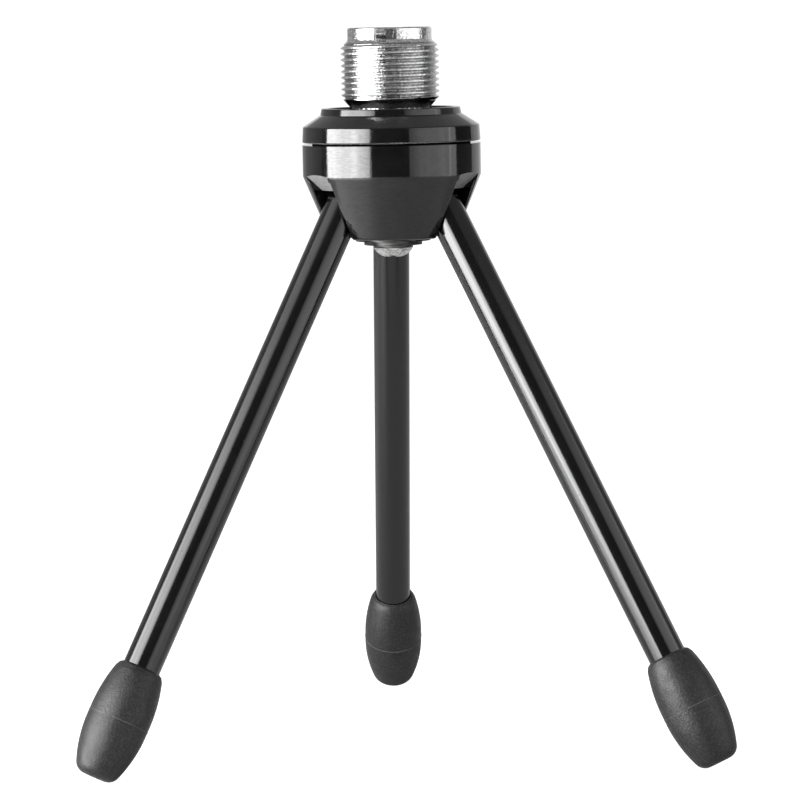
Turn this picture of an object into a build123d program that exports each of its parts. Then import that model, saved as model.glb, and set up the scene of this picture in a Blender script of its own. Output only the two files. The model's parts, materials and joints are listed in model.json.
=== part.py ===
from build123d import *
from math import cos, radians, sin
import os

# Folding three-leg desktop stand for a microphone. Millimetres, +Z up. The origin is on the floor,
# straight below the hub, with one leg behind (+Y) and two legs in front, left and right.

# ---------------------------------------------------------------- driving dimensions
# Legs
leg_azimuths = {"left": 210, "right": 330, "rear": 90}
leg_lean = 28.6  # angle from vertical when the leg is fully spread
tube_radius = 3.0
tube_wall = 0.7
pin_radius = 0.9
pin_length = 9.0
pin_hole_gap = 0.04  # running clearance of the pin in the tube and its plug
pivot_reach = 9.57  # hub axis to hinge pin
pivot_drop = 10.6  # seam of the hub down to the hinge pin
leg_length = 98.45  # hinge pin to the sole of the foot
plug_length = 12.0

# Rubber feet, measured down from their top
foot_length = 18.6
foot_top_radius = 3.62
foot_belly_radius = 4.96
foot_belly_start = 8.2
foot_belly_end = 9.8
foot_sole_radius = 1.7  # flat middle of the sole
foot_sole_round = 2.0
foot_sole_angle = 22  # where the sole's round meets the taper
foot_socket_depth = 15.4
foot_top_round = 0.5

# Hub shells. Heights are counted from the seam, which is the top face of the hub body.
hub_radius = 14.42
band_height = 5.05
band_edge_round = 1.2
body_depth = 15.1
body_foot_radius = 10.25
body_foot_round = 0.6
lobe_edge_round = 0.3
seam_gap = 0.35
seam_depth = 1.75
cap_edge_round = 0.25
cap_shoulder_radius = 14.27
cap_shoulder_height = 2.9
rim_root_radius = 11.4
rim_radius = 11.2
rim_root_height = 4.75
rim_height = 5.83
rim_round = 0.2
recess_radius = 10.1
recess_floor = 1.9

# Leg slots in the hub body, in the upright plane through a leg: distance from the hub axis, and height
slot_half_width = 3.2
shaft_inner = 5.35
shaft_outer = 11.2
roof_edge_drop = 4.6  # where the slot's sloped roof comes out of the hub
roof_lip_drop = 7.25  # where the roof meets the shaft
roof_rise = 0.6  # last part of a slot, cut when the lobes' edges are already round
core_radius = 6.3
stop_gap = 0.05  # between a fully spread tube and its stop

# Grooves that take the pins, and the cap's posts that hold the pins down
groove_half_width = 4.55
groove_inner = 8.2
groove_outer = 10.94
groove_gap = 0.03
post_gap = 0.1
heel_gap = 0.15
heel_round = 0.3
pin_end_chamfer = 0.15
overshoot = 1.0  # how far a cut runs past the face it opens

# Shares of a thread's pitch
ridge_flank = 0.36
ridge_land = 0.2

# Stud, nut, washers and clamp screw
stud_crest_radius = 4.7
stud_root_radius = 3.8
stud_pitch = 25.4 / 16
stud_top = 14.5
stud_plain = 0.4  # unthreaded start of the stud, above the cap
neck_radius = 4.0
neck_half_flats = 3.25
neck_drop = 6.0
neck_gap = 0.06
neck_end_gap = 0.3  # left under the neck, so that the screw can pull the stud down
nut_across_flats = 14.3
nut_height = 3.2
nut_gap = 0.02
nut_chamfer = 0.3
spread_washer_radius = 6.05
spread_washer_height = 0.55
screw_washer_radius = 4.7
screw_washer_height = 0.65
screw_radius = 1.75
screw_length = 15.9
screw_head_radius = 3.2
screw_head_height = 2.05
screw_head_side = 0.45
screw_head_flat = 0.6
screw_clearance = 1.95
tapped_radius = 1.78
tapped_depth = 10.0
recess_arm_length = 3.9
recess_arm_width = 0.95
recess_depth = 1.3
recess_taper = 14

# Thread adapter, 5/8 inch with 27 threads to the inch outside
adapter_crest_radius = 15.875 / 2
adapter_root_radius = 7.36
adapter_pitch = 25.4 / 27
adapter_turns = 9
adapter_top = 18.7
adapter_neck_radius = 6.8
adapter_neck_length = 1.9
adapter_flare = 1.1  # height of the cone between neck and thread
adapter_foot_radius = 6.35
adapter_run_out = 0.35  # plain root below the last turn
adapter_foot_cone = 1.1
adapter_bore_radius = 4.82
adapter_bore_root = 5.3
adapter_bore_plain = 0.3  # unthreaded length at each end of the bore, at least
driver_slot_width = 2.1
driver_slot_depth = 2.3
driver_slot_turn = -14.5

# ---------------------------------------------------------------- worked out from those
lean = radians(leg_lean)
pivot_height = (
    (leg_length - foot_sole_round) * cos(lean) + foot_sole_radius * sin(lean) + foot_sole_round
)
seam = pivot_height + pivot_drop
body_bottom = seam - body_depth
washer_joint = body_bottom - spread_washer_height
screw_seat = washer_joint - screw_washer_height
head_bottom = screw_seat - screw_head_height
recess_level = seam + recess_floor
nut_top = recess_level + nut_height


def upright(azimuth):
    """Upright plane through the hub axis at an azimuth: x is the distance outwards, y the height."""
    a = radians(azimuth)
    return Plane(origin=(0, 0, 0), x_dir=(cos(a), sin(a), 0), z_dir=(sin(a), -cos(a), 0))


def roof_height(distance):
    """Height of a slot's sloped roof at a distance from the hub axis."""
    slope = (roof_lip_drop - roof_edge_drop) / (hub_radius - shaft_outer)
    return seam - roof_lip_drop + slope * (distance - shaft_outer)


def leg_side(azimuth, distance):
    """Plane through a leg's axis: x points to the leg's upper side, y runs down the leg.

    Its origin is on the leg's axis, at a distance below the hinge pin.
    """
    a = radians(azimuth)
    outwards = Vector(cos(a), sin(a), 0)
    up = Vector(0, 0, 1)
    along = outwards * sin(lean) - up * cos(lean)
    upper_side = outwards * cos(lean) + up * sin(lean)
    pivot = outwards * pivot_reach + up * pivot_height
    return Plane(origin=pivot + along * distance, x_dir=upper_side, z_dir=upper_side.cross(along))


def leg_section(azimuth, distance):
    """Plane square to a leg, facing down the leg."""
    side = leg_side(azimuth, distance)
    return Plane(origin=side.origin, x_dir=side.x_dir, z_dir=side.y_dir)


def ridges(root, crest, pitch, first, count):
    """Outline points of a row of thread ridges, from the bottom up."""
    flank = ridge_flank * pitch
    land = ridge_land * pitch
    points = []
    for turn in range(count):
        start = first + turn * pitch
        points.append((root, start))
        points.append((crest, start + flank))
        points.append((crest, start + flank + land))
        points.append((root, start + 2 * flank + land))
    return points


def shape_leg_head(azimuth):
    """Round the upper corner of a leg's top end about its pin, ease the heel, and drill for the pin."""
    with BuildSketch(leg_side(azimuth, 0)) as corner:
        with Locations((tube_radius, -tube_radius)):
            Rectangle(2 * tube_radius, 2 * tube_radius)
        Circle(tube_radius, mode=Mode.SUBTRACT)
    extrude(corner.sketch, amount=tube_radius, both=True, mode=Mode.SUBTRACT)
    with BuildSketch(leg_side(azimuth, 0)) as heel:
        with Locations((-tube_radius, -tube_radius)):
            Rectangle(2 * heel_round, 2 * heel_round, rotation=45)
    extrude(heel.sketch, amount=tube_radius, both=True, mode=Mode.SUBTRACT)
    with BuildSketch(leg_side(azimuth, 0)) as pin_hole:
        Circle(pin_radius + pin_hole_gap)
    extrude(pin_hole.sketch, amount=tube_radius, both=True, mode=Mode.SUBTRACT)


os.makedirs("parts", exist_ok=True)

# ---------------------------------------------------------------- hub body
with BuildPart() as hub_body:
    with BuildSketch(Plane.XZ):
        with BuildLine():
            Polyline(
                (0, body_bottom),
                (body_foot_radius, body_bottom),
                (hub_radius, seam - band_height),
                (hub_radius, seam),
                (0, seam),
                close=True,
            )
        make_face()
    revolve(axis=Axis.Z)
    fillet(hub_body.edges().filter_by(GeomType.CIRCLE).sort_by(Axis.Z)[0], body_foot_round)
    fillet(hub_body.edges().filter_by(GeomType.CIRCLE).sort_by(Axis.Z)[-2], band_edge_round)

    # The stop: a sloped face on the core, against the lower side of a spread tube
    stop_reach = (tube_radius + stop_gap) / cos(lean)
    stop_top = pivot_height + (pivot_reach - stop_reach - shaft_inner) * cos(lean) / sin(lean)
    stop_bottom = pivot_height + (pivot_reach - stop_reach - core_radius) * cos(lean) / sin(lean)
    beyond = hub_radius + overshoot
    for azimuth in leg_azimuths.values():
        with BuildSketch(upright(azimuth)):
            with BuildLine():
                Polyline(
                    (shaft_inner, seam + overshoot),
                    (shaft_outer, seam + overshoot),
                    (shaft_outer, roof_height(shaft_outer) - roof_rise),
                    (beyond, roof_height(beyond) - roof_rise),
                    (beyond, body_bottom - overshoot),
                    (core_radius, body_bottom - overshoot),
                    (core_radius, stop_bottom),
                    (shaft_inner, stop_top),
                    close=True,
                )
            make_face()
        extrude(amount=slot_half_width, both=True, mode=Mode.SUBTRACT)

    # Round the upright edges of the lobes, where a slot cuts the cone, then take the slots up to their roofs
    fillet(hub_body.edges().filter_by(GeomType.HYPERBOLA), lobe_edge_round)
    for azimuth in leg_azimuths.values():
        with BuildSketch(upright(azimuth)):
            with BuildLine():
                Polyline(
                    (shaft_outer, roof_height(shaft_outer)),
                    (beyond, roof_height(beyond)),
                    (beyond, roof_height(beyond) - 2 * roof_rise),
                    (shaft_outer, roof_height(shaft_outer) - 2 * roof_rise),
                    close=True,
                )
            make_face()
        extrude(amount=slot_half_width, both=True, mode=Mode.SUBTRACT)

    # Grooves for the hinge pins, open to the seam
    for azimuth in leg_azimuths.values():
        with BuildSketch(upright(azimuth)):
            with BuildLine():
                Polyline(
                    (groove_inner, seam + overshoot),
                    (groove_outer, seam + overshoot),
                    (groove_outer, pivot_height + 2 * pin_radius),
                    (pivot_reach + pin_radius + groove_gap, pivot_height + pin_radius),
                    (pivot_reach + pin_radius + groove_gap, pivot_height),
                    (pivot_reach - pin_radius - groove_gap, pivot_height),
                    (pivot_reach - pin_radius - groove_gap, pivot_height + pin_radius),
                    (groove_inner, pivot_height + 2 * pin_radius),
                    close=True,
                )
            make_face()
            with Locations((pivot_reach, pivot_height)):
                Circle(pin_radius + groove_gap)
        extrude(amount=groove_half_width, both=True, mode=Mode.SUBTRACT)

    # Pocket for the stud's neck, and the clamp screw's hole
    with BuildSketch(Plane.XY.offset(seam)):
        Circle(neck_radius + neck_gap)
        Rectangle(2 * (neck_half_flats + neck_gap), 3 * neck_radius, mode=Mode.INTERSECT)
    extrude(amount=-(neck_drop + neck_end_gap), mode=Mode.SUBTRACT)
    with BuildSketch(Plane.XY.offset(body_bottom)):
        Circle(screw_clearance)
    extrude(amount=body_depth, mode=Mode.SUBTRACT)

# ---------------------------------------------------------------- top cap
with BuildPart() as top_cap:
    with BuildSketch(Plane.XZ) as cap_half:
        with BuildLine():
            Polyline(
                (0, seam),
                (hub_radius - seam_depth, seam),
                (hub_radius - seam_depth, seam + seam_gap),
                (hub_radius, seam + seam_gap),
                (cap_shoulder_radius, seam + cap_shoulder_height),
                (rim_root_radius, seam + rim_root_height),
                (rim_radius, seam + rim_height),
                (recess_radius, seam + rim_height),
                (recess_radius, recess_level),
                (0, recess_level),
                close=True,
            )
        make_face()
    revolve(axis=Axis.Z)
    rim_edges = top_cap.edges().filter_by(GeomType.CIRCLE).group_by(Axis.Z)[-1]
    fillet(rim_edges, rim_round)
    circles = top_cap.edges().filter_by(GeomType.CIRCLE)
    outer_edges = circles.filter_by(lambda edge: edge.radius > (hub_radius + rim_radius) / 2)
    fillet(outer_edges.filter_by(lambda edge: edge.center().Z > seam), cap_edge_round)

    # Posts that hold each hinge pin down, with an arch over the leg's head
    for azimuth in leg_azimuths.values():
        with BuildSketch(upright(azimuth)):
            with BuildLine():
                Polyline(
                    (groove_inner + post_gap, seam + recess_floor / 2),
                    (groove_outer - post_gap, seam + recess_floor / 2),
                    (groove_outer - post_gap, pivot_height + 2 * pin_radius + post_gap),
                    (pivot_reach + pin_radius, pivot_height + pin_radius + groove_gap),
                    (pivot_reach - pin_radius, pivot_height + pin_radius + groove_gap),
                    (groove_inner + post_gap, pivot_height + 2 * pin_radius + post_gap),
                    close=True,
                )
            make_face()
        extrude(amount=groove_half_width - post_gap, both=True)
        with BuildSketch(upright(azimuth)):
            with Locations((pivot_reach, pivot_height)):
                Circle(tube_radius * 2**0.5 + heel_gap)
        extrude(amount=slot_half_width + post_gap, both=True, mode=Mode.SUBTRACT)

    with BuildSketch(Plane.XY.offset(recess_level)):
        Circle(neck_radius + neck_gap)
        Rectangle(2 * (neck_half_flats + neck_gap), 3 * neck_radius, mode=Mode.INTERSECT)
    extrude(amount=-recess_floor, mode=Mode.SUBTRACT)

# ---------------------------------------------------------------- stud and its nut
stud_thread_start = recess_level + stud_plain
stud_turns = int((seam + stud_top - stud_thread_start) / stud_pitch)
with BuildPart() as center_stud:
    with BuildSketch(Plane.XZ):
        with BuildLine():
            Polyline(
                (0, recess_level),
                (stud_root_radius, recess_level),
                *ridges(stud_root_radius, stud_crest_radius, stud_pitch, stud_thread_start, stud_turns),
                (stud_root_radius, seam + stud_top),
                (0, seam + stud_top),
                close=True,
            )
        make_face()
    revolve(axis=Axis.Z)
    with BuildSketch(Plane.XY.offset(recess_level)):
        Circle(neck_radius)
        Rectangle(2 * neck_half_flats, 3 * neck_radius, mode=Mode.INTERSECT)
    extrude(amount=-(recess_floor + neck_drop))
    with BuildSketch(Plane.XY.offset(seam - neck_drop)):
        Circle(tapped_radius)
    extrude(amount=tapped_depth, mode=Mode.SUBTRACT)

with BuildPart() as stud_nut:
    with BuildSketch(Plane.XY.offset(recess_level)):
        RegularPolygon(nut_across_flats / 2, 6, major_radius=False)
        Circle(stud_crest_radius + nut_gap, mode=Mode.SUBTRACT)
    extrude(amount=nut_height)
    chamfer(stud_nut.edges().group_by(Axis.Z)[-1].filter_by(GeomType.LINE), nut_chamfer)

# ---------------------------------------------------------------- thread adapter
thread_top = seam + adapter_top - adapter_neck_length - adapter_flare
thread_bottom = thread_top - adapter_turns * adapter_pitch
thread = ridges(adapter_root_radius, adapter_crest_radius, adapter_pitch, thread_bottom, adapter_turns)
bore_turns = int((seam + adapter_top - nut_top - 2 * adapter_bore_plain) / stud_pitch)
bore = ridges(adapter_bore_root, adapter_bore_radius, stud_pitch, nut_top + adapter_bore_plain, bore_turns)
with BuildPart() as mic_adapter:
    with BuildSketch(Plane.XZ):
        with BuildLine():
            Polyline(
                (adapter_foot_radius, nut_top),
                (adapter_foot_radius, thread_bottom - adapter_run_out - adapter_foot_cone),
                (adapter_root_radius, thread_bottom - adapter_run_out),
                *thread,
                (adapter_neck_radius, seam + adapter_top - adapter_neck_length),
                (adapter_neck_radius, seam + adapter_top),
                (adapter_bore_root, seam + adapter_top),
                *reversed(bore),
                (adapter_bore_root, nut_top),
                close=True,
            )
        make_face()
    revolve(axis=Axis.Z)
    with BuildSketch(Plane.XY.offset(seam + adapter_top)):
        Rectangle(driver_slot_width, 3 * adapter_crest_radius, rotation=driver_slot_turn)
    extrude(amount=-driver_slot_depth, mode=Mode.SUBTRACT)

# ---------------------------------------------------------------- washers and clamp screw
with BuildPart() as spread_washer:
    with BuildSketch(Plane.XY.offset(washer_joint)):
        Circle(spread_washer_radius)
        Circle(screw_clearance, mode=Mode.SUBTRACT)
    extrude(amount=spread_washer_height)

with BuildPart() as screw_washer:
    with BuildSketch(Plane.XY.offset(screw_seat)):
        Circle(screw_washer_radius)
        Circle(screw_clearance, mode=Mode.SUBTRACT)
    extrude(amount=screw_washer_height)

with BuildPart() as clamp_screw:
    with BuildSketch(Plane.XZ):
        with BuildLine():
            dome_rim = (screw_head_radius, screw_seat - screw_head_side)
            dome = TangentArc((screw_head_flat, head_bottom), dome_rim, tangent=(1, 0))
            Polyline(
                dome @ 1,
                (screw_head_radius, screw_seat),
                (screw_radius, screw_seat),
                (screw_radius, screw_seat + screw_length),
                (0, screw_seat + screw_length),
                (0, head_bottom),
                dome @ 0,
            )
        make_face()
    revolve(axis=Axis.Z)
    with BuildSketch(Plane.XY.offset(head_bottom)):
        Rectangle(recess_arm_length, recess_arm_width)
        Rectangle(recess_arm_width, recess_arm_length)
    extrude(amount=recess_depth, taper=recess_taper, mode=Mode.SUBTRACT)

hub_pieces = {
    "hub_body": hub_body,
    "top_cap": top_cap,
    "center_stud": center_stud,
    "stud_nut": stud_nut,
    "mic_adapter": mic_adapter,
    "spread_washer": spread_washer,
    "screw_washer": screw_washer,
    "clamp_screw": clamp_screw,
}
for name, piece in hub_pieces.items():
    piece.part.label = name
    export_step(piece.part, f"parts/{name}.step")

# ---------------------------------------------------------------- legs
foot_start = leg_length - foot_length
for side, azimuth in leg_azimuths.items():
    with BuildPart() as leg_tube:
        with BuildSketch(leg_section(azimuth, -tube_radius)):
            Circle(tube_radius)
            Circle(tube_radius - tube_wall, mode=Mode.SUBTRACT)
        extrude(amount=tube_radius + foot_start + foot_socket_depth)
        shape_leg_head(azimuth)

    with BuildPart() as hinge_plug:
        with BuildSketch(leg_section(azimuth, -tube_radius)):
            Circle(tube_radius - tube_wall)
        extrude(amount=plug_length)
        shape_leg_head(azimuth)

    with BuildPart() as hinge_pin:
        with BuildSketch(leg_side(azimuth, 0)):
            Circle(pin_radius)
        extrude(amount=pin_length / 2, both=True)
        chamfer(hinge_pin.edges(), pin_end_chamfer)

    with BuildPart() as rubber_foot:
        with BuildSketch(leg_side(azimuth, foot_start)) as foot_half:
            with BuildLine():
                toe = CenterArc(
                    (foot_sole_radius, foot_length - foot_sole_round),
                    foot_sole_round,
                    foot_sole_angle,
                    90 - foot_sole_angle,
                )
                taper = TangentArc((foot_belly_radius, foot_belly_end), toe @ 0, tangent=(0, 1))
                belly = Line((foot_belly_radius, foot_belly_start), taper @ 0)
                shoulder = TangentArc(belly @ 0, (foot_top_radius, 0), tangent=(0, -1))
                Polyline(
                    shoulder @ 1,
                    (tube_radius, 0),
                    (tube_radius, foot_socket_depth),
                    (0, foot_socket_depth),
                    (0, foot_length),
                    toe @ 1,
                )
            make_face()
            fillet(foot_half.vertices().group_by(Axis.Y)[0].sort_by(Axis.X)[-1], foot_top_round)
        leg_axis = Axis(leg_side(azimuth, 0).origin, leg_side(azimuth, 0).y_dir)
        revolve(axis=leg_axis)

    leg_pieces = {
        "leg_tube": leg_tube,
        "hinge_plug": hinge_plug,
        "hinge_pin": hinge_pin,
        "rubber_foot": rubber_foot,
    }
    for name, piece in leg_pieces.items():
        piece.part.label = f"{side}_{name}"
        export_step(piece.part, f"parts/{side}_{name}.step")
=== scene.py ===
import json
from math import ceil, cos, pi, radians, sin, tau

import bmesh
import bpy
from mathutils import Matrix, Vector


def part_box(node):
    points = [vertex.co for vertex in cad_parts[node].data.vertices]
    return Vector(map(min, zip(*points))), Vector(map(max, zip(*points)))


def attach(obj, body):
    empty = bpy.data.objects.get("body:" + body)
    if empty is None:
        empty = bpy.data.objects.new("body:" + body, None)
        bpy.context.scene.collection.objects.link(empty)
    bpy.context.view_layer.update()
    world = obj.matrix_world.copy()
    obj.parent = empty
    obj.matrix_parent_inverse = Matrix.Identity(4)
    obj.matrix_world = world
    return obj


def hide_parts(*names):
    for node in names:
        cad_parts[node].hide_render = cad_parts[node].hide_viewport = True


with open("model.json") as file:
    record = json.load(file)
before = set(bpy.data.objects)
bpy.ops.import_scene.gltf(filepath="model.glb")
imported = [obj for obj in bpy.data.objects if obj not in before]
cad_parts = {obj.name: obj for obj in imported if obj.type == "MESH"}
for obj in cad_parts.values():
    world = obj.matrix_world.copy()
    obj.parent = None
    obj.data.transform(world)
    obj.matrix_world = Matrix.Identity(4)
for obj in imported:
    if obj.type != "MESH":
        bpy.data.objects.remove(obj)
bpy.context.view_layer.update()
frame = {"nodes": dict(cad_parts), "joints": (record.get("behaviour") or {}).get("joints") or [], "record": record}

# Folding desktop microphone stand. Metres, in the CAD frame: +Z up, the rear leg towards +Y.
MM = 0.001
MERGE_GAP = 1e-7  # vertices nearer than this become one
SIDES = ("left", "right", "rear")
EVEN = (0, 1, 1, 1)  # a panel's fade that changes nothing
scene = bpy.context.scene

# ---------------------------------------------------------------- places in the frame, and the part's sizes
nodes = frame["nodes"]
joints = {joint["name"]: joint for joint in frame["joints"]}
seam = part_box("hub_body")[1].z
seam_gap = 0.35 * MM
adapter_low, adapter_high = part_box("mic_adapter")
adapter_segments = 180
thread_root = 7.36 * MM
bore_root = 5.3 * MM
bore_lead = 0.35 * MM
leg_lean = radians(28.6)
leg_length = 98.45 * MM
tube_radius = 3.0 * MM
foot_length = 18.6 * MM
foot_belly = 4.96 * MM
foot_segments = 120


# ---------------------------------------------------------------- camera
def add_camera():
    """Long lens in front of the stand, a little above the hub and tilted down."""
    distance = 622.6 * MM
    sideways = 0.62 * MM
    height = seam + 20.17 * MM
    turn = radians(-1.48)
    tilt = radians(5.67)
    roll = radians(-1.073)
    data = bpy.data.cameras.new("camera")
    data.lens = 173.2
    data.sensor_width = 36
    data.clip_start = 0.01
    camera = bpy.data.objects.new("camera", data)
    scene.collection.objects.link(camera)
    around = Matrix.Rotation(turn, 4, "Z")
    aim = Matrix.Rotation(pi / 2 - tilt, 4, "X") @ Matrix.Rotation(roll, 4, "Z")
    camera.matrix_world = around @ Matrix.Translation((sideways, -distance, height)) @ aim
    scene.camera = camera


# ---------------------------------------------------------------- mesh helpers
def mesh_object(name, bm):
    """A new object in the scene with a bmesh as its mesh. The bmesh is used up."""
    mesh = bpy.data.meshes.new(name)
    bm.to_mesh(mesh)
    bm.free()
    made = bpy.data.objects.new(name, mesh)
    scene.collection.objects.link(made)
    return made


def finish_piece(name, bm, body, material, smooth_angle=35):
    """Turn a bmesh into a piece that rides on a body, with its material."""
    bmesh.ops.recalc_face_normals(bm, faces=bm.faces)
    for face in bm.faces:
        face.smooth = True
    for edge in bm.edges:
        edge.smooth = edge.calc_face_angle(0) < radians(smooth_angle)
    piece = mesh_object(name, bm)
    piece.data.materials.append(material)
    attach(piece, body)
    return piece


def bridge_rings(bm, lower, upper):
    """Faces between two rings of vertices of the same count."""
    count = len(lower)
    for i in range(count):
        k = (i + 1) % count
        bm.faces.new((lower[i], lower[k], upper[k], upper[i]))


def ring(bm, radius, height, segments, place=Matrix.Identity(4)):
    """Vertices of a circle round the place's Z axis."""
    angles = [tau * i / segments for i in range(segments)]
    return [bm.verts.new(place @ Vector((radius * cos(a), radius * sin(a), height))) for a in angles]


def lathe(bm, outline, segments, place=Matrix.Identity(4)):
    """Turn an outline of (radius, height) points round Z. A point on the axis becomes a pole."""
    rings = []
    for radius, height in outline:
        if radius == 0:
            rings.append([bm.verts.new(place @ Vector((0, 0, height)))])
        else:
            rings.append(ring(bm, radius, height, segments, place))
    for a, b in zip(rings, rings[1:]):
        if len(a) > 1 and len(b) > 1:
            bridge_rings(bm, a, b)
            continue
        pole, rim = (a[0], b) if len(a) == 1 else (b[0], a)
        for i in range(segments):
            bm.faces.new((pole, rim[i], rim[(i + 1) % segments]))


def arc(centre, radius, start, end, steps):
    """Points of a circular arc in an outline, with its angles in degrees."""
    points = []
    for i in range(steps + 1):
        a = radians(start + (end - start) * i / steps)
        points.append((centre[0] + radius * cos(a), centre[1] + radius * sin(a)))
    return points


def thread_profile(root, crest, land=0.14, flank=0.37, flat_rows=3):
    """One pitch of a rounded 60 degree thread, as (share of the pitch, radius) rows.

    land and flank are the crest's and each slope's share of the pitch. The slope is given as
    (share of its width, share of the thread's depth) pairs.
    """
    slope = ((0.08, 0.03), (0.5, 0.5), (0.92, 0.94))
    depth = crest - root
    root_land = 1 - land - 2 * flank
    rows = []
    for i in range(flat_rows):
        rows.append((root_land * i / flat_rows, root))
    for along, rise in slope:
        rows.append((root_land + flank * along, root + depth * rise))
    for i in range(flat_rows):
        rows.append((root_land + flank + land * (i + 0.5) / flat_rows, crest))
    for along, rise in reversed(slope):
        rows.append((1 - flank * along, root + depth * rise))
    return rows


def thread_wall(bm, rows, pitch, low, high, limit, segments, phase=0.0):
    """A wall with a right-hand helical thread between two heights.

    Its rows of vertices follow the helix. limit(radius, height) trims the thread to the piece's shape.
    The spare turns past each end are pressed flat there, and then merged.
    """
    spare_turns = 2
    turns = ceil((high - low) / pitch) + spare_turns
    columns = []
    for i in range(segments):
        angle = tau * i / segments
        column = []
        for turn in range(-spare_turns, turns):
            for share, radius in rows:
                height = low + pitch * (turn + share + phase + i / segments)
                height = min(max(height, low), high)
                r = limit(radius, height)
                column.append(bm.verts.new((r * cos(angle), r * sin(angle), height)))
        columns.append(column)
    per_turn = len(rows)
    for i in range(segments):
        here = columns[i]
        there = columns[(i + 1) % segments]
        shift = per_turn if i == segments - 1 else 0
        for j in range(len(here) - 1 - shift):
            bm.faces.new((here[j], there[j + shift], there[j + 1 + shift], here[j + 1]))
    bmesh.ops.remove_doubles(bm, verts=bm.verts, dist=MERGE_GAP)
    loose = [v for v in bm.verts if not v.link_faces]
    bmesh.ops.delete(bm, geom=loose, context="VERTS")


# ---------------------------------------------------------------- material helpers
def new_material(name, **constants):
    """A material with a Principled shader, whose constant values are set on its own sockets.

    A socket's name is given with underscores for its spaces.
    """
    material = bpy.data.materials.new(name)
    material.use_nodes = True
    shader = material.node_tree.nodes["Principled BSDF"]
    for socket, value in constants.items():
        shader.inputs[socket.replace("_", " ")].default_value = value
    return material, material.node_tree, shader


def connect(tree, shader, colour, roughness, normal):
    """Link what varies over the surface to a material's shader."""
    tree.links.new(colour, shader.inputs["Base Color"])
    tree.links.new(roughness, shader.inputs["Roughness"])
    tree.links.new(normal, shader.inputs["Normal"])


def add_node(tree, kind, inputs=None, **settings):
    """A node with its settings, and with its inputs set or linked."""
    node = tree.nodes.new(kind)
    for name, value in settings.items():
        setattr(node, name, value)
    for name, value in (inputs or {}).items():
        if isinstance(value, bpy.types.NodeSocket):
            tree.links.new(value, node.inputs[name])
        else:
            node.inputs[name].default_value = value
    return node


def object_point(tree, stretch=(1, 1, 1)):
    """The point on the surface in metres, stretched along the axes.

    It is in the CAD frame for all pieces of the stand, and in a light panel's own frame for the panel.
    """
    place = add_node(tree, "ShaderNodeTexCoord").outputs["Object"]
    return add_node(tree, "ShaderNodeMapping", {"Vector": place, "Scale": stretch}).outputs["Vector"]


def facing_up(tree):
    """How far the surface faces up: 1 on level tops, 0 on upright walls, -1 on level undersides."""
    normal = add_node(tree, "ShaderNodeNewGeometry").outputs["True Normal"]
    return add_node(tree, "ShaderNodeSeparateXYZ", {"Vector": normal}).outputs["Z"]


def noise(tree, size, detail=3.0, roughness=0.5, stretch=(1, 1, 1)):
    """Noise whose grains are about the given size in metres."""
    inputs = {
        "Vector": object_point(tree, stretch),
        "Scale": 1 / size,
        "Detail": detail,
        "Roughness": roughness,
    }
    return add_node(tree, "ShaderNodeTexNoise", inputs).outputs["Fac"]


def blend_range(tree, value, low, high, to_low, to_high):
    """Map a value from one range to another, clamped."""
    inputs = {"Value": value, "From Min": low, "From Max": high, "To Min": to_low, "To Max": to_high}
    return add_node(tree, "ShaderNodeMapRange", inputs).outputs["Result"]


def colours(tree, value, dark, light, low=0.3, high=0.7):
    """A colour between two tones, by a value."""
    ramp = add_node(tree, "ShaderNodeValToRGB", {"Fac": value})
    ramp.color_ramp.elements[0].position = low
    ramp.color_ramp.elements[0].color = (*dark, 1)
    ramp.color_ramp.elements[1].position = high
    ramp.color_ramp.elements[1].color = (*light, 1)
    return ramp.outputs["Color"]


def mix_colours(tree, share, first, second):
    """A colour that goes from the first to the second as the share goes from 0 to 1.

    The Mix node has equally named sockets for each kind of data, so its colour sockets go by number.
    """
    node = add_node(tree, "ShaderNodeMix", data_type="RGBA")
    tree.links.new(share, node.inputs[0])
    for socket, colour in ((node.inputs[6], first), (node.inputs[7], second)):
        if isinstance(colour, bpy.types.NodeSocket):
            tree.links.new(colour, socket)
        else:
            socket.default_value = (*colour, 1)
    return node.outputs[2]


def combine(tree, operation, first, second):
    """Two values put together by a Math node."""
    return add_node(tree, "ShaderNodeMath", {0: first, 1: second}, operation=operation).outputs[0]


def multiply(tree, first, second):
    """The product of two values."""
    return combine(tree, "MULTIPLY", first, second)


def add(tree, first, second):
    """The sum of two values."""
    return combine(tree, "ADD", first, second)


def bump(tree, height, strength, depth, after=None):
    """Bump of a real depth in metres, added to another bump."""
    inputs = {"Height": height, "Strength": strength, "Distance": depth}
    if after is not None:
        inputs["Normal"] = after
    return add_node(tree, "ShaderNodeBump", inputs).outputs["Normal"]


# ---------------------------------------------------------------- materials
def slot_roofs(tree):
    """1 on the sloped roofs of the leg slots, which face down just under the band, and 0 elsewhere."""
    roof_low = seam - 8 * MM
    roof_edge = 0.2 * MM
    facing = facing_up(tree)
    height = add_node(tree, "ShaderNodeSeparateXYZ", {"Vector": object_point(tree)}).outputs["Z"]
    faces_down = blend_range(tree, facing, -0.7, -0.66, 1.0, 0.0)
    slopes = blend_range(tree, facing, -0.92, -0.88, 0.0, 1.0)
    high_up = blend_range(tree, height, roof_low - roof_edge, roof_low, 0.0, 1.0)
    return multiply(tree, multiply(tree, faces_down, slopes), high_up)


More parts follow.
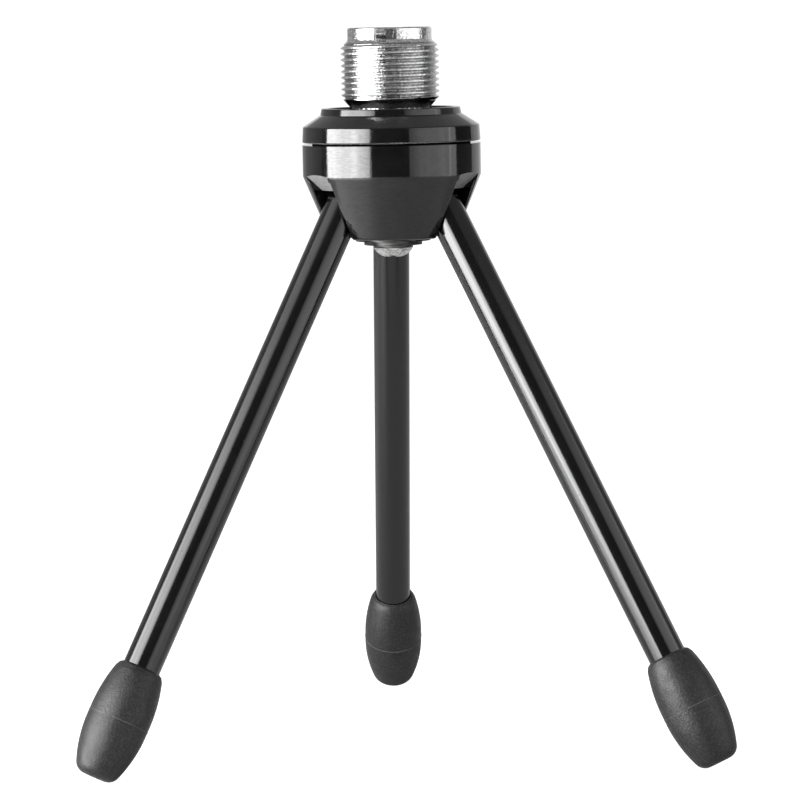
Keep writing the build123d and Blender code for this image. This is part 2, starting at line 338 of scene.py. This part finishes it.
def hub_plastic():
    """Glossy black moulded plastic with a faint ripple, level polishing lines and handling scratches.

    The roofs of the leg slots are rougher, and painted a lighter grey as painted light, so that they look lit.
    """
    material, tree, shader = new_material("hub_plastic", IOR=1.49)
    roof = slot_roofs(tree)
    mottle = noise(tree, 3 * MM, detail=4)
    polished = colours(tree, mottle, (0.0012, 0.0012, 0.0013), (0.003, 0.003, 0.0031))
    grain = noise(tree, 0.7 * MM, detail=4)
    # painted light: the slot roofs are a much lighter grey than the black plastic, to look lit
    roof_painted_light = colours(tree, grain, (0.085, 0.085, 0.085), (0.14, 0.14, 0.14))
    colour = mix_colours(tree, roof, polished, roof_painted_light)
    smudges = noise(tree, 5 * MM, detail=6, roughness=0.6)
    smooth = blend_range(tree, smudges, 0.35, 0.75, 0.05, 0.12)
    roughness = add(tree, smooth, multiply(tree, roof, 0.45))
    polish_lines = noise(tree, 1.1 * MM, detail=5, roughness=0.65, stretch=(1, 1, 5))
    shine = blend_range(tree, polish_lines, 0.38, 0.6, 0.42, 0.51)
    tree.links.new(shine, shader.inputs["Specular IOR Level"])
    ripple = bump(tree, noise(tree, 2.4 * MM, detail=1), 0.25, 0.02 * MM)
    scratches = noise(tree, 0.5 * MM, detail=5, stretch=(1, 1, 0.08))
    scratched = bump(tree, scratches, 0.6, 0.008 * MM, ripple)
    dust = noise(tree, 0.32 * MM, detail=2)
    connect(tree, shader, colour, roughness, bump(tree, dust, 0.3, 0.01 * MM, scratched))
    return material


def gloss_black_paint():
    """Semi-gloss black enamel on steel tube, with a slight orange peel and tiny dust specks."""
    material, tree, shader = new_material("gloss_black_paint", IOR=1.5)
    tone = noise(tree, 6 * MM, detail=4)
    enamel = colours(tree, tone, (0.001, 0.001, 0.0011), (0.0025, 0.0025, 0.0026))
    haze = noise(tree, 4 * MM, detail=6, roughness=0.65)
    roughness = blend_range(tree, haze, 0.3, 0.75, 0.1, 0.17)
    peel = bump(tree, noise(tree, 0.9 * MM, detail=2), 0.3, 0.012 * MM)
    specks = add_node(tree, "ShaderNodeTexVoronoi", {"Vector": object_point(tree), "Scale": 1 / (2.5 * MM)})
    dots = blend_range(tree, specks.outputs["Distance"], 0.0, 0.07, 1.0, 0.0)
    connect(tree, shader, enamel, roughness, bump(tree, dots, 0.6, 0.02 * MM, peel))
    return material


def valley_painted_shade(tree):
    """How much painted shade darkens the adapter: most in the valleys of its outside thread, none elsewhere."""
    most = 0.6
    from_axis = {"Vector": object_point(tree, (1, 1, 0))}
    radius = add_node(tree, "ShaderNodeVectorMath", from_axis, operation="LENGTH").outputs["Value"]
    below_crest = blend_range(tree, radius, thread_root + 0.02 * MM, thread_root + 0.2 * MM, most, 0.0)
    beyond_neck = blend_range(tree, radius, thread_root - 0.3 * MM, thread_root - 0.1 * MM, 0.0, 1.0)
    return multiply(tree, below_crest, beyond_neck)


def chrome():
    """Bright plating over turned brass, with fine turning lines and a grainy, slightly pitted skin."""
    material, tree, shader = new_material("chrome", Metallic=1.0)
    stain = noise(tree, 0.4 * MM, detail=5, roughness=0.7)
    plating = colours(tree, stain, (0.34, 0.34, 0.345), (0.76, 0.76, 0.765), low=0.36, high=0.6)
    # painted shade: the valleys of the outside thread are darkened to near black, as if shade falls in them
    colour = mix_colours(tree, valley_painted_shade(tree), plating, (0.06, 0.06, 0.06))
    smears = noise(tree, 0.9 * MM, detail=6, roughness=0.7, stretch=(1, 1, 2.5))
    roughness = blend_range(tree, smears, 0.3, 0.75, 0.06, 0.18)
    turning = noise(tree, 0.07 * MM, detail=2, stretch=(0.06, 0.06, 1))
    turned = bump(tree, turning, 0.4, 0.008 * MM)
    pits = noise(tree, 0.4 * MM, detail=3)
    connect(tree, shader, colour, roughness, bump(tree, pits, 0.9, 0.09 * MM, turned))
    return material


def zinc_steel():
    """Zinc plated steel with a crystalline mottle and small scuffs. Its upright rims are rougher, and painted
    shade darkens them.
    """
    material, tree, shader = new_material("zinc_steel", Metallic=1.0)
    facing = facing_up(tree)
    upright = blend_range(tree, multiply(tree, facing, facing), 0.02, 0.08, 1.0, 0.0)
    grain = noise(tree, 0.45 * MM, detail=5, roughness=0.6)
    plating = colours(tree, grain, (0.26, 0.26, 0.257), (0.7, 0.7, 0.69), low=0.38, high=0.62)
    streaks = noise(tree, 2 * MM, detail=3, stretch=(1, 1, 10))
    # painted shade: upright faces get a near-black colour, standing in for the dark they reflect
    rim = colours(tree, streaks, (0.02, 0.02, 0.02), (0.12, 0.12, 0.118), low=0.35, high=0.7)
    colour = mix_colours(tree, upright, plating, rim)
    scuffs = noise(tree, 1.1 * MM, detail=6, roughness=0.7)
    scuffed = blend_range(tree, scuffs, 0.3, 0.75, 0.16, 0.3)
    roughness = add(tree, scuffed, multiply(tree, upright, 0.3))
    connect(tree, shader, colour, roughness, bump(tree, grain, 0.4, 0.012 * MM))
    return material


def black_steel():
    """Steel with a black oxide skin, a little brown where it is thin."""
    material, tree, shader = new_material("black_steel", IOR=1.6, Metallic=0.3)
    skin = noise(tree, 0.8 * MM, detail=5, roughness=0.6)
    oxide = colours(tree, skin, (0.006, 0.006, 0.006), (0.02, 0.018, 0.017))
    wear = noise(tree, 1.6 * MM, detail=6)
    roughness = blend_range(tree, wear, 0.3, 0.7, 0.3, 0.5)
    connect(tree, shader, oxide, roughness, bump(tree, skin, 0.2, 0.008 * MM))
    return material


def painted_shade_plastic():
    """Dull, nearly unreflecting black plastic: painted shade for the sleeve inside the hub's seam."""
    material, tree, shader = new_material("painted_shade_plastic", IOR=1.1)
    grain = noise(tree, 0.5 * MM, detail=3)
    tone = colours(tree, grain, (0.001, 0.001, 0.001), (0.004, 0.004, 0.004))
    roughness = blend_range(tree, grain, 0.3, 0.7, 0.7, 0.9)
    connect(tree, shader, tone, roughness, bump(tree, grain, 0.4, 0.02 * MM))
    return material


def foot_rubber():
    """Matt black rubber with a fine moulded grain and a little bloom."""
    material, tree, shader = new_material("foot_rubber", IOR=1.4)
    bloom = noise(tree, 4 * MM, detail=6, roughness=0.6)
    plain = colours(tree, bloom, (0.0015, 0.0015, 0.0016), (0.003, 0.003, 0.0031))
    speckled = colours(tree, bloom, (0.012, 0.012, 0.0122), (0.02, 0.02, 0.0202))
    grain = noise(tree, 0.27 * MM, detail=2)
    specks = blend_range(tree, grain, 0.45, 0.65, 0.0, 1.0)
    colour = mix_colours(tree, specks, plain, speckled)
    sheen = noise(tree, 1.5 * MM, detail=5)
    roughness = blend_range(tree, sheen, 0.3, 0.7, 0.42, 0.56)
    connect(tree, shader, colour, roughness, bump(tree, grain, 0.9, 0.08 * MM))
    return material


def painted_highlight_rubber():
    """The thin edge of a parting line, painted pale in patches: a painted highlight along the edge."""
    material, tree, shader = new_material("painted_highlight_rubber", IOR=1.4)
    highlight_patches = noise(tree, 2 * MM, detail=5, roughness=0.7)
    # painted highlight: pale grey patches stand in for the light the thin edge catches
    tone = colours(tree, highlight_patches, (0.02, 0.02, 0.02), (0.09, 0.09, 0.09))
    roughness = blend_range(tree, highlight_patches, 0.3, 0.7, 0.55, 0.75)
    connect(tree, shader, tone, roughness, bump(tree, highlight_patches, 0.4, 0.02 * MM))
    return material


materials = {
    "hub_plastic": hub_plastic(),
    "gloss_black_paint": gloss_black_paint(),
    "chrome": chrome(),
    "zinc_steel": zinc_steel(),
    "black_steel": black_steel(),
    "painted_shade_plastic": painted_shade_plastic(),
    "foot_rubber": foot_rubber(),
    "painted_highlight_rubber": painted_highlight_rubber(),
}


def finish_cad_nodes():
    """Give each CAD node the material of its slot in the record."""
    for part in frame["record"]["subparts"]:
        for material_slot in nodes[part["node"]].material_slots:
            material_slot.material = materials[part["material_slot"]]


# ---------------------------------------------------------------- thread adapter
def add_adapter():
    """Chromed adapter: 5/8 inch thread outside, 3/8 inch bore, and a driver slot across the top."""
    pitch = 25.4 / 27 * MM
    crest = adapter_high.x
    neck = 6.8 * MM
    foot = 6.35 * MM
    neck_base = adapter_high.z - 1.9 * MM
    flare_height = 1.1 * MM
    undercut_height = 1.1 * MM
    run_out = 0.35 * MM
    turns = 9
    foot_top = neck_base - flare_height - turns * pitch - run_out - undercut_height
    rim = 0.22 * MM
    thread_phase = 0.205

    def trim(radius, height):
        below_neck = (neck_base - height) / flare_height
        flared = neck + (crest - neck) * (0.35 * below_neck + 0.65 * below_neck**2)
        undercut = foot + (thread_root - foot) * (height - foot_top) / undercut_height
        return min(radius, flared, undercut)

    bm = bmesh.new()
    rows = thread_profile(thread_root, crest)
    thread_wall(bm, rows, pitch, foot_top, neck_base, trim, adapter_segments, phase=thread_phase)
    add_bore(bm)
    mouth = bore_root + bore_lead
    join_rims(bm, (foot, foot_top), (foot, adapter_low.z + rim))
    join_rims(bm, (foot, adapter_low.z + rim), (foot - rim, adapter_low.z))
    join_rims(bm, (foot - rim, adapter_low.z), (mouth, adapter_low.z))
    join_rims(bm, (neck, neck_base), (neck, adapter_high.z - rim))
    join_rims(bm, (neck, adapter_high.z - rim), (neck - rim, adapter_high.z))
    join_rims(bm, (neck - rim, adapter_high.z), (mouth, adapter_high.z))
    bmesh.ops.remove_doubles(bm, verts=bm.verts, dist=2 * MERGE_GAP)
    piece = finish_piece("thread_adapter", bm, "adapter", materials["chrome"])
    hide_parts("mic_adapter")
    cut_slot(piece)


def add_bore(bm):
    """The 3/8 inch thread down the adapter's middle, which opens out at both ends."""
    crest = 4.82 * MM
    pitch = 25.4 / 16 * MM

    def trim(radius, height):
        near_end = min(height - adapter_low.z, adapter_high.z - height)
        return max(radius, bore_root + bore_lead - near_end)

    bore = bmesh.new()
    rows = thread_profile(bore_root, crest, land=0.2, flank=0.33)
    thread_wall(bore, rows, pitch, adapter_low.z, adapter_high.z, trim, adapter_segments)
    mesh = bpy.data.meshes.new("bore")
    bore.to_mesh(mesh)
    bore.free()
    bm.from_mesh(mesh)
    bpy.data.meshes.remove(mesh)


def join_rims(bm, first, second):
    """A band of faces between two circles of the adapter given as (radius, height)."""
    bridge_rings(bm, ring(bm, *first, adapter_segments), ring(bm, *second, adapter_segments))


def cut_slot(piece):
    """Mill the driver slot right across the adapter's top."""
    length = 30 * MM
    width = 2.1 * MM
    depth = 2.3 * MM
    turn = radians(-14.5)
    bm = bmesh.new()
    bmesh.ops.create_cube(bm, size=1)
    size = Matrix.Diagonal((width, length, 2 * depth, 1))
    place = Matrix.Translation((0, 0, adapter_high.z)) @ Matrix.Rotation(turn, 4, "Z") @ size
    bmesh.ops.transform(bm, matrix=place, verts=bm.verts)
    cutter = mesh_object("slot_cutter", bm)
    cut = piece.modifiers.new("slot", "BOOLEAN")
    cut.operation = "DIFFERENCE"
    cut.solver = "EXACT"
    cut.object = cutter
    apply_modifiers(piece)
    bpy.data.objects.remove(cutter)


def apply_modifiers(piece):
    """Replace a piece's mesh by what its modifiers make of it."""
    graph = bpy.context.evaluated_depsgraph_get()
    made = bpy.data.meshes.new_from_object(piece.evaluated_get(graph))
    piece.modifiers.clear()
    piece.data = made


# ---------------------------------------------------------------- hub
def add_seam_shade_liner():
    """Dull black sleeve on the wall at the bottom of the seam: a sheet of painted shade, so that no light comes
    back out of it.
    """
    segments = 144
    wall = 12.67 * MM
    clearance = 0.01 * MM
    thickness = 0.12 * MM
    inner = wall + clearance
    outer = inner + thickness
    low = seam + clearance
    high = seam + seam_gap - clearance
    bm = bmesh.new()
    lathe(bm, [(outer, low), (outer, high), (inner, high), (inner, low), (outer, low)], segments)
    bmesh.ops.remove_doubles(bm, verts=bm.verts, dist=MERGE_GAP)
    finish_piece("seam_liner", bm, "hub", materials["painted_shade_plastic"])


# ---------------------------------------------------------------- rubber feet
def leg_place(side, distance):
    """Matrix whose Z axis runs down a leg, with X towards the leg's upper side.

    Its origin is on the leg's axis, at a distance below the hinge pin.
    """
    joint = joints[f"{side}_leg_fold"]
    pivot = Vector(joint["pos_m"])
    outwards = Vector((pivot.x, pivot.y, 0)).normalized()
    up = Vector((0, 0, 1))
    down_leg = outwards * sin(leg_lean) - up * cos(leg_lean)
    upper_side = outwards * cos(leg_lean) + up * sin(leg_lean)
    across = down_leg.cross(upper_side)
    turn = Matrix((upper_side, across, down_leg)).transposed().to_4x4()
    return Matrix.Translation(pivot + down_leg * distance) @ turn


def swell(rim, belly, height, steps):
    """Points from a belly, where the outline runs straight down the leg, to a narrower rim.

    They lie on a circular arc, as (radius, height above or below the belly).
    """
    inwards = belly - rim
    radius = (inwards**2 + height**2) / (2 * inwards)
    points = []
    for i in range(steps + 1):
        y = height * i / steps
        points.append((belly - radius + (radius**2 - y**2) ** 0.5, y))
    return points


def foot_outline(length):
    """Outline of a rubber foot, from the bottom of its socket round the mouth and down to the sole."""
    belly = foot_belly
    belly_start = 8.2 * MM
    belly_end = 9.8 * MM
    socket_depth = 15.4 * MM
    socket_rows = 8
    mouth = 3.62 * MM
    mouth_round = 0.5 * MM
    mouth_bead = 0.12 * MM
    corner_round = 0.62 * mouth_round
    shoulder_top = 1.3 * mouth_round
    lip = 0.22 * MM
    sole = 1.7 * MM
    sole_round = 2.0 * MM
    sole_angle = 22

    points = [(0, socket_depth), (tube_radius, socket_depth)]
    points += [(tube_radius, socket_depth * (1 - i / socket_rows)) for i in range(1, socket_rows)]
    points += arc((tube_radius + lip, lip * 2), lip, 180, 270, 4)
    points += [(mouth - mouth_round - mouth_bead, lip), (mouth - mouth_round, 0)]
    shoulder = swell(mouth, belly, belly_start, 26)
    shoulder = [(r, belly_start - y) for r, y in reversed(shoulder)]
    points += arc((mouth - corner_round, mouth_round), corner_round, 285, 345, 5)
    points += [(r, y) for r, y in shoulder if y > shoulder_top]
    toe_centre = (sole, length - sole_round)
    toe_start = toe_centre[0] + sole_round * cos(radians(sole_angle))
    toe_height = toe_centre[1] + sole_round * sin(radians(sole_angle)) - belly_end
    points += [(r, belly_end + y) for r, y in swell(toe_start, belly, toe_height, 24)][:-1]
    points += arc(toe_centre, sole_round, sole_angle, 90, 10)
    points += [(sole * 0.5, length), (0, length)]
    return points


def add_foot(side):
    """Rubber foot pushed on a leg, with a bead round its mouth."""
    bm = bmesh.new()
    lathe(bm, foot_outline(foot_length), foot_segments, leg_place(side, leg_length - foot_length))
    piece = finish_piece(f"{side}_foot", bm, f"{side}_leg", materials["foot_rubber"])
    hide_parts(f"{side}_rubber_foot")


def add_parting_line(side):
    """The thin flash that stands out where the halves of the foot's mould met."""
    height = 0.05 * MM
    root_width = 0.16 * MM
    edge_width = 0.06 * MM
    sunk = 0.05 * MM
    level = 0.485 * foot_length
    outline = [
        (foot_belly - sunk, level - root_width / 2),
        (foot_belly + height, level - edge_width / 2),
        (foot_belly + height, level + edge_width / 2),
        (foot_belly - sunk, level + root_width / 2),
        (foot_belly - sunk, level - root_width / 2),
    ]
    bm = bmesh.new()
    lathe(bm, outline, foot_segments, leg_place(side, leg_length - foot_length))
    bmesh.ops.remove_doubles(bm, verts=bm.verts, dist=MERGE_GAP)
    line = f"{side}_foot_parting_line"
    finish_piece(line, bm, f"{side}_leg", materials["painted_highlight_rubber"])


# ---------------------------------------------------------------- stage
def by_ray(tree, to_camera, to_others):
    """One shader for the camera's rays and another for all other rays."""
    path = add_node(tree, "ShaderNodeLightPath")
    mix = add_node(tree, "ShaderNodeMixShader", {"Fac": path.outputs["Is Camera Ray"]})
    tree.links.new(to_others.outputs[0], mix.inputs[1])
    tree.links.new(to_camera.outputs[0], mix.inputs[2])
    return mix.outputs[0]


def add_floor():
    """Pale glossy floor, white to the camera as in an overexposed studio shot."""
    bm = bmesh.new()
    bmesh.ops.create_circle(bm, cap_ends=True, radius=3.0, segments=96)
    floor = mesh_object("floor", bm)
    material, tree, bright = new_material(
        "pale_floor",
        Base_Color=(0.25, 0.25, 0.25, 1),
        Roughness=0.9,
        Specular_IOR_Level=0.1,
        Emission_Color=(1, 1, 1, 1),
        Emission_Strength=1.0,
    )
    glossy = {"Base Color": (0.6, 0.6, 0.6, 1), "Roughness": 0.12, "IOR": 1.7}
    pale = add_node(tree, "ShaderNodeBsdfPrincipled", glossy)
    tree.links.new(by_ray(tree, bright, pale), tree.nodes["Material Output"].inputs["Surface"])
    floor.data.materials.append(material)


def glow(name, radiance, across, upwards):
    """Emission of a panel that fades across and upwards.

    Each fade is (from, to, share at from, share at to), along the panel's own X or Z in metres.
    """
    material = bpy.data.materials.new(name)
    material.use_nodes = True
    tree = material.node_tree
    tree.nodes.clear()
    place = add_node(tree, "ShaderNodeSeparateXYZ", {"Vector": object_point(tree)})
    folds = noise(tree, 0.05, detail=2, stretch=(1, 1, 0.1))
    cloth = blend_range(tree, folds, 0.35, 0.65, 0.88, 1.1)
    fade = multiply(tree, blend_range(tree, place.outputs["X"], *across), cloth)
    fade = multiply(tree, fade, blend_range(tree, place.outputs["Z"], *upwards))
    emission = add_node(tree, "ShaderNodeEmission", {"Strength": multiply(tree, fade, radiance)})
    output = add_node(tree, "ShaderNodeOutputMaterial")
    tree.links.new(emission.outputs[0], output.inputs["Surface"])
    return material


def add_panel(name, azimuth, distance, width, height, radiance, across=EVEN, upwards=EVEN):
    """An upright glowing panel on the floor that faces the stand, at an angle left of the camera.

    Its own X points to its edge nearer the camera on the left, and away from it on the right.
    """
    bm = bmesh.new()
    corners = [(-width / 2, 0), (width / 2, 0), (width / 2, height), (-width / 2, height)]
    bm.faces.new([bm.verts.new((x, 0, z)) for x, z in corners])
    panel = mesh_object(name, bm)
    panel.data.materials.append(glow(name, radiance, across, upwards))
    a = radians(azimuth)
    panel.location = (-distance * sin(a), -distance * cos(a), 0)
    panel.rotation_euler = (0, 0, -a)
    panel.visible_camera = False


def add_ceiling(name, width, depth, radiance):
    """A glowing ceiling over the stand and behind it. The camera's side of the room stays dark."""
    height = 0.7
    front_edge = -0.88
    data = bpy.data.lights.new(name, "AREA")
    data.shape = "RECTANGLE"
    data.size = width
    data.size_y = depth
    data.energy = radiance * pi * width * depth
    light = bpy.data.objects.new(name, data)
    scene.collection.objects.link(light)
    light.location = (0, front_edge + depth / 2, height)
    light.visible_camera = False


def add_front_lights():
    """A bright soft box on the left, and a weak panel on the right with a bright line at its edge."""
    add_panel(
        "soft_box",
        azimuth=60,
        distance=0.36,
        width=0.445,
        height=0.4,
        radiance=21,
        across=(0.06, 0.24, 1, 0.4),
        upwards=(0.13, 0.33, 1, 0.12),
    )
    add_panel(
        "fill_panel",
        azimuth=-55,
        distance=0.36,
        width=0.486,
        height=0.34,
        radiance=2.4,
        across=(-0.24, -0.06, 0.45, 1),
        upwards=(0.2, 0.34, 1, 0.2),
    )
    add_panel("edge_strip", azimuth=-78.6, distance=0.37, width=0.012, height=0.3, radiance=4.5)


def add_room_lights():
    """The pale room behind the stand and over it."""
    add_panel("rear_right_panel", azimuth=-150, distance=0.5, width=0.49, height=0.3, radiance=0.85)
    add_panel("rear_left_panel", azimuth=135, distance=0.5, width=0.64, height=0.22, radiance=0.42)
    add_panel("backdrop", azimuth=180, distance=0.55, width=0.3, height=0.25, radiance=0.9)
    add_ceiling("near_ceiling", width=2, depth=2.1, radiance=0.3)
    add_ceiling("wide_ceiling", width=8, depth=5, radiance=0.3)


def set_world():
    """White backdrop to the camera, and a dim studio to everything else."""
    world = bpy.data.worlds.new("studio")
    scene.world = world
    world.use_nodes = True
    tree = world.node_tree
    dim = tree.nodes["Background"]
    dim.inputs["Color"].default_value = (0.12, 0.12, 0.12, 1)
    white = add_node(tree, "ShaderNodeBackground", {"Color": (1, 1, 1, 1), "Strength": 1.05})
    tree.links.new(by_ray(tree, white, dim), tree.nodes["World Output"].inputs["Surface"])


scene.view_settings.view_transform = "Standard"
add_camera()
finish_cad_nodes()
add_adapter()
add_seam_shade_liner()
for side in SIDES:
    add_foot(side)
    add_parting_line(side)
add_floor()
add_front_lights()
add_room_lights()
set_world()
